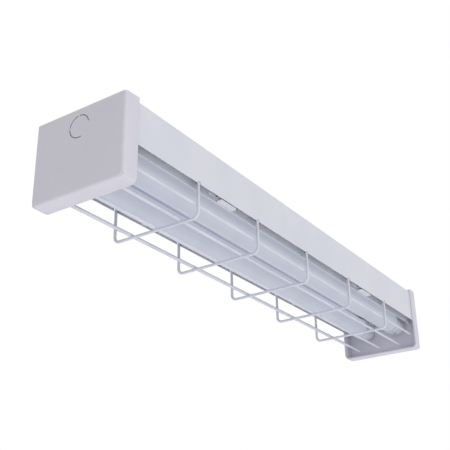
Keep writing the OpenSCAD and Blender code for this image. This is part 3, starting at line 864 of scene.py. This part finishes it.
pads = round_edges(
    channel, PAD_R, PAD_STEPS,
    lambda e: all(on_pad(v) for v in e.verts)
    and e.calc_face_angle(0) > STEEP_RADIANS and e.calc_length() > SHORTEST_PAD_EDGE,
)
close_edit()
print("pad edges", pads)
smooth_dressed(channel)
hand_over(channel, "housing_enamel", "body")

# %% [markdown]
# ## The gear tray
# The tray is an upturned trough of the same sheet. Its walls are what shows beside the tubes.

# %% Tray
TRAY_FOLD_STEPS = 4

tray_low, tray_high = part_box("gear_tray")
tray = dress_copy("gear_tray", "tray", split=True)
open_edit(tray)
round_folds(tray, -tray_low.y, tray_high.z, tray_low.z, TRAY_FOLD_STEPS)
close_edit()
smooth_dressed(tray)
hand_over(tray, "tray_enamel", "gear_tray")

# %% [markdown]
# ## The wire guard: a hoop
# A hoop is one wire, bent on a former: down at the front, across under the tubes, up at the back
# and in to the hinge. It is made here as the bender makes it. A round face is drawn out straight,
# spun about the middle of each bend, and drawn out again, so that the wire keeps its section all
# the way.

# %% Hoop
HOOP_R = 6 * MM
HOOP_BEND_STEPS = 8
INSIDE_HINGE_BEND = 0.2 * MM
HINGE_BEND_STEPS = 6
TIP_Z = -42.8 * MM
WIRE_SIDES = 20

hoop_low, hoop_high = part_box("guard_hoop_3")
hinge = next(joint for joint in frame["joints"] if joint["name"] == "guard_hinge")["pos_m"]
rail_low, rail_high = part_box("bottom_rail_middle")
wire_r = (rail_high.z - rail_low.z) / 2
leg_y = hoop_high.y - wire_r
hoop_z = hoop_low.z + wire_r
hinge_r = wire_r + INSIDE_HINGE_BEND
hinge_run = hoop_high.x - (hoop_low.x + wire_r)


def draw_out(move):
    """Draws the selected round face out in a straight line."""
    bpy.ops.mesh.extrude_region_move(TRANSFORM_OT_translate={"value": move})


def bend(centre, axis, steps):
    """Turns the selected round face through a quarter about an axis."""
    spin_selected(QUARTER, centre, axis, steps)


bpy.ops.object.select_all(action="DESELECT")
bpy.ops.mesh.primitive_circle_add(
    vertices=WIRE_SIDES, radius=wire_r, fill_type="NGON", location=(0, -leg_y, TIP_Z)
)
hoop = named("hoop_3")
open_edit(hoop)
bpy.ops.mesh.select_all(action="SELECT")
draw_out((0, 0, hoop_z + HOOP_R - TIP_Z))
bend((0, -leg_y + HOOP_R, hoop_z + HOOP_R), (1, 0, 0), HOOP_BEND_STEPS)
draw_out((0, 2 * (leg_y - HOOP_R), 0))
bend((0, leg_y - HOOP_R, hoop_z + HOOP_R), (1, 0, 0), HOOP_BEND_STEPS)
draw_out((0, 0, hinge[2] - hinge_r - hoop_z - HOOP_R))
bend((0, leg_y - hinge_r, hinge[2] - hinge_r), (1, 0, 0), HINGE_BEND_STEPS)
draw_out((0, hinge[1] + hinge_r - (leg_y - hinge_r), 0))
bend((hinge_r, hinge[1] + hinge_r, hinge[2]), (0, 0, 1), HINGE_BEND_STEPS)
draw_out((hinge_run - hinge_r, 0, 0))
close_edit()
tidy_normals(hoop)
report(hoop)

# %% [markdown]
# ## The wire guard: tips and copies
# A cropped wire is tumbled or dipped, which rounds its tips. The rim of each end face gets a
# small bevel. The finished hoop is then copied to the places of the other four.

# %% Hoops
TIP_R = 0.6 * MM
TIP_STEPS = 3
ROUND_DEGREES = 40

open_edit(hoop)
round_edges(
    hoop, TIP_R, TIP_STEPS,
    lambda e: all(v.co.z > TIP_Z - HAIR and v.co.y < 0 for v in e.verts)
    or all(v.co.x > hinge_run - HAIR for v in e.verts),
)
close_edit()
smooth(hoop, ROUND_DEGREES)
for number in (1, 2, 4, 5):
    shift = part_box(f"guard_hoop_{number}")[0].x - hoop_low.x
    twin = moved_copy(hoop, f"hoop_{number}", (shift, 0, 0))
    hand_over(twin, "guard_wire", f"guard_hoop_{number}")
hand_over(hoop, "guard_wire", "guard_hoop_3")

# %% [markdown]
# ## The wire guard: rails and welds
# The rails are straight wires with rounded tips. Where a rail crosses a hoop the two are welded
# by resistance: they sink into each other a little and the coat fills the corner. A flattened
# bead at each crossing stands for that. The beads are joined into one piece.

# %% Rails
RAILS = [
    "bottom_rail_front", "bottom_rail_middle", "bottom_rail_back", "side_rail_front",
    "side_rail_back",
]

rail_middle = (rail_low + rail_high) / 2
rail = add_rod("rail", rail_low.x, rail_high.x, 0, rail_middle.z, wire_r, WIRE_SIDES)
open_edit(rail)
round_edges(
    rail, TIP_R, TIP_STEPS, lambda e: all(abs(v.co.x) > rail_high.x - HAIR for v in e.verts)
)
close_edit()
smooth(rail, ROUND_DEGREES)
crossings = []
for node in RAILS:
    low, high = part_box(node)
    middle = (low + high) / 2
    twin = moved_copy(rail, node.replace("rail", "wire"), middle - rail_middle)
    hand_over(twin, "guard_wire", node)
    on_side = "side" in node
    lean = Vector((0, math.copysign(wire_r, middle.y), 0)) if on_side else Vector((0, 0, -wire_r))
    crossings.append((middle + lean, on_side))
bpy.data.objects.remove(rail)

# %% Welds
BEAD_WIDE = 2 * MM
BEAD_THICK = 1.05 * MM
BEAD_SIDES = 16
BEAD_DEGREES = 60

hoop_places = [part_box(f"guard_hoop_{number}")[0].x + wire_r for number in range(1, 6)]
beads = []
for place, on_side in crossings:
    size = (BEAD_WIDE, BEAD_THICK, BEAD_WIDE) if on_side else (BEAD_WIDE, BEAD_WIDE, BEAD_THICK)
    for x in hoop_places:
        bpy.ops.object.select_all(action="DESELECT")
        bpy.ops.mesh.primitive_uv_sphere_add(
            segments=BEAD_SIDES, ring_count=BEAD_SIDES // 2, radius=1,
            location=(x, place.y, place.z), scale=size,
        )
        beads.append(named("bead"))
choose(*beads)
bpy.ops.object.join()
welds = named("guard_welds")
smooth(welds, BEAD_DEGREES)
hand_over(welds, "guard_wire", body="guard")

# %% [markdown]
# ## The tubes: glass
# The glass is a plain drawn pipe. A pipe with its wall is made from an open cylinder and
# Solidify. It has many sides, because its outline is the longest curve in the picture.

# %% Glass pipes
GLASS_T = 0.8 * MM
TUBE_SIDES = 96

for tube in ("front", "back"):
    low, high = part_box(f"tube_{tube}_glass")
    middle = (low + high) / 2
    pipe = add_rod(
        f"{tube}_glass_pipe", low.x, high.x, middle.y, middle.z, (high.z - low.z) / 2, TUBE_SIDES,
        ends="NOTHING",
    )
    give_wall(pipe, GLASS_T)
    smooth(pipe, ROUND_DEGREES)
    hand_over(pipe, "opal_glass", f"tube_{tube}_glass")

# %% [markdown]
# ## The tubes: caps
# A tube cap is a shallow moulded cup that is glued over the glass. Its outer edge is round and a
# fine groove runs round its skirt. The cup starts as a rod that loses its inner face. Two cuts
# mark the groove, whose middle is drawn in, the outer rim is bevelled, and Solidify gives the
# skirt its wall. The disc is thicker than the skirt, so its inner side is moved in before the
# holes for the pins are cut.

# %% Tube caps
CUP_WALL = 0.6 * MM
CUP_DISC = 1.6 * MM
CUP_EDGE_R = 1.2 * MM
CUP_EDGE_STEPS = 5
GROOVE_W = 0.7 * MM
GROOVE_DEPTH = 0.2 * MM
GROOVE_FROM_MOUTH = 3 * MM
PIN_HOLE_R = 1.23 * MM
PIN_HOLE_SIDES = 32
PIN_REACH = 6.35 * MM

cup_low, cup_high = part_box("tube_front_cap_far")
cup_middle = (cup_low + cup_high) / 2
cup_r = (cup_high.z - cup_low.z) / 2
groove_x = cup_low.x + GROOVE_FROM_MOUTH + GROOVE_W / 2
cup = add_rod("cup", cup_low.x, cup_high.x, cup_middle.y, cup_middle.z, cup_r, TUBE_SIDES)
open_edit(cup)
pick(cup, "faces", lambda face: face.normal.x < -FACING)
bpy.ops.mesh.delete(type="FACE")
for x in (cup_low.x + GROOVE_FROM_MOUTH, cup_low.x + GROOVE_FROM_MOUTH + GROOVE_W):
    bpy.ops.mesh.select_all(action="SELECT")
    bpy.ops.mesh.bisect(plane_co=(x, 0, 0), plane_no=(1, 0, 0))
pick(
    cup, "edges",
    lambda e: not runs_along(e)
    and all(abs(abs(v.co.x - groove_x) - GROOVE_W / 2) < HAIR for v in e.verts),
)
bpy.ops.mesh.bevel(offset=GROOVE_W / 4, segments=1, affect="EDGES")
pick(cup, "verts", lambda v: abs(v.co.x - groove_x) < GROOVE_W / 2)
shrink = 1 - GROOVE_DEPTH / cup_r
bpy.ops.transform.resize(
    value=(1, shrink, shrink), center_override=(groove_x, cup_middle.y, cup_middle.z)
)
round_edges(
    cup, CUP_EDGE_R, CUP_EDGE_STEPS, lambda e: all(v.co.x > cup_high.x - HAIR for v in e.verts)
)
close_edit()
print("groove", round(GROOVE_W / MM, 2), "mm wide on a cup of", round(2 * cup_r / MM, 1), "mm")

# %% Tube caps: disc and pin holes
give_wall(cup, CUP_WALL)
open_edit(cup)
pick(
    cup, "verts",
    lambda v: abs(v.co.x - (cup_high.x - CUP_WALL)) < HAIR
    and (v.co.yz - cup_middle.yz).length < cup_r - CUP_EDGE_R + HAIR,
)
bpy.ops.transform.translate(value=(CUP_WALL - CUP_DISC, 0, 0))
close_edit()
for side in (-1, 1):
    hole_y = cup_middle.y + side * PIN_REACH
    hole = add_rod(
        "hole", cup_low.x, cup_high.x + MM, hole_y, cup_middle.z, PIN_HOLE_R, PIN_HOLE_SIDES
    )
    combine(cup, hole, "DIFFERENCE")
report(cup)

# %% Cups in place
cup_near = mirrored_copy(cup, "cup_near")
for tube in ("front", "back"):
    for end, source in (("near", cup_near), ("far", cup)):
        node = f"tube_{tube}_cap_{end}"
        low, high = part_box(node)
        shift = (low.y + high.y) / 2 - cup_middle.y
        twin = moved_copy(source, f"{tube}_cup_{end}", (0, shift, 0))
        smooth(twin)
        hand_over(twin, "tube_cap_plastic", node)
for spare in (cup, cup_near):
    bpy.data.objects.remove(spare)

# %% [markdown]
# ## Small mouldings and clips
# The lampholders, latches, clips and the terminal block keep the shapes of their solids, with the
# broken edges that a mould or a press gives them. An angle picks the sharp edges, so that the
# round faces stay.

# %% Dress small pieces
HOLDER_EDGE_R = 0.3 * MM
LATCH_EDGE_R = 0.2 * MM
STRIP_EDGE_R = 0.12 * MM
BLOCK_EDGE_R = 0.35 * MM
SHARP_DEGREES = 50
BROKEN_EDGE_STEPS = 2


def dress_edges(node, name, slot, radius, split=False):
    """Hands over a dressed copy of a node whose sharp edges are all broken."""
    piece = dress_copy(node, name, split)
    apply_modifier(
        piece, "BEVEL", width=radius, segments=BROKEN_EDGE_STEPS, limit_method="ANGLE",
        angle_limit=math.radians(SHARP_DEGREES), harden_normals=False, use_clamp_overlap=True,
    )
    smooth_dressed(piece)
    hand_over(piece, slot, node)


for end in ("near", "far"):
    dress_edges(f"latch_{end}", f"tray_latch_{end}", "latch_plastic", LATCH_EDGE_R)
    for side in ("front", "back"):
        holder = f"{side}_holder_{end}"
        dress_edges(f"lampholder_{side}_{end}", holder, "holder_plastic", HOLDER_EDGE_R, split=True)
        dress_edges(f"rotor_{side}_{end}", f"{side}_rotor_{end}", "rotor_plastic", HOLDER_EDGE_R)
dress_edges("guard_hinge_clips", "hinge_clips", "spring_steel", STRIP_EDGE_R)
dress_edges("guard_catches", "leg_catches", "spring_steel", STRIP_EDGE_R)
dress_edges("terminal_block", "clamp_block", "terminal_plastic", BLOCK_EDGE_R)

# %% [markdown]
# ## Solids that keep their shape
# What is left is right as it is, such as the pins, the boards and the leads. Each solid comes in
# with a plain material that is named for its slot, and gets the finish of that slot instead.

# %% Materials on the solids
for solid in frame["nodes"].values():
    for slot in solid.material_slots:
        slot.material = MATERIALS[slot.material.name]
shown = [node for node, solid in frame["nodes"].items() if not solid.hide_render]
print("solids shown", sorted(shown))

# %% [markdown]
# ## Studio
# The light hangs in open air, as if on its ceiling. The world is a plain pale grey for the light
# that it gives, and white for the camera and for reflections, because a studio sweep shows white
# behind an object without lighting it more. A long soft box in front and a little above lifts the
# side panel, a square one below lifts the underside, and one further off on the camera's side
# fills the shade. A pale floor lies far below.

# %% World
AMBIENT = 0.48
WHITE = (1, 1, 1, 1)

world = bpy.data.worlds.new("studio")
bpy.context.scene.world = world
world.use_nodes = True
tree = world.node_tree
tree.nodes.clear()
rays = add_node(tree, "ShaderNodeLightPath")
seen = rays.outputs["Is Camera Ray"]
for kind in ("Is Glossy Ray", "Is Transmission Ray"):
    seen = add_node(
        tree, "ShaderNodeMath", {0: seen, 1: rays.outputs[kind]}, operation="MAXIMUM"
    ).outputs[0]
soft_sky = add_node(tree, "ShaderNodeBackground", {"Color": WHITE, "Strength": AMBIENT})
white_sweep = add_node(tree, "ShaderNodeBackground", {"Color": WHITE, "Strength": 1.0})
sky = add_node(
    tree, "ShaderNodeMixShader", {0: seen, 1: soft_sky.outputs[0], 2: white_sweep.outputs[0]}
)
add_node(tree, "ShaderNodeOutputWorld", {"Surface": sky.outputs[0]})
print("world", len(tree.nodes), "nodes")

# %% Lamps
FRONT_PLACE = Vector((0, -2.0, 0.7))
FRONT_POWER = 14
FRONT_SIZE = (2.4, 0.4)
UNDER_PLACE = Vector((0, -0.3, -1.9))
UNDER_POWER = 17
UNDER_SIZE = (1.6, 1.6)
FILL_PLACE = Vector((-2.6, -1.0, -1.3))
FILL_POWER = 16
FILL_SIZE = (1.4, 1.4)


def add_lamp(name, place, power, size):
    """A soft box that points at the light, with its length along it."""
    lamp_data = bpy.data.lights.new(name, "AREA")
    lamp_data.shape = "RECTANGLE"
    lamp_data.size, lamp_data.size_y = size
    lamp_data.energy = power
    lamp = bpy.data.objects.new(name, lamp_data)
    bpy.context.scene.collection.objects.link(lamp)
    lamp.location = place
    lamp.rotation_mode = "QUATERNION"
    lamp.rotation_quaternion = (-place).to_track_quat("-Z", "Y")
    lamp.visible_camera = False
    print(f"{name}: {power} W at {place.length:.2f} m")


add_lamp("front_lamp", FRONT_PLACE, FRONT_POWER, FRONT_SIZE)
add_lamp("under_lamp", UNDER_PLACE, UNDER_POWER, UNDER_SIZE)
add_lamp("fill_lamp", FILL_PLACE, FILL_POWER, FILL_SIZE)

# %% Floor
FLOOR_Z = -2
FLOOR_SIZE = 12

bpy.ops.object.select_all(action="DESELECT")
bpy.ops.mesh.primitive_plane_add(size=FLOOR_SIZE, location=(0, 0, FLOOR_Z))
floor = named("floor")
floor_paint = make_finish(
    "pale_floor_paint", "F2F2F2", "EFEFEF", drift_mm=400, grain_mm=6, relief_mm=0.05,
    rough=(0.7, 0.8),
)
floor.data.materials.append(floor_paint)

# %% [markdown]
# ## View settings
# Standard shows each colour about as it is written.

# %% Finish
bpy.context.scene.view_settings.view_transform = "Standard"
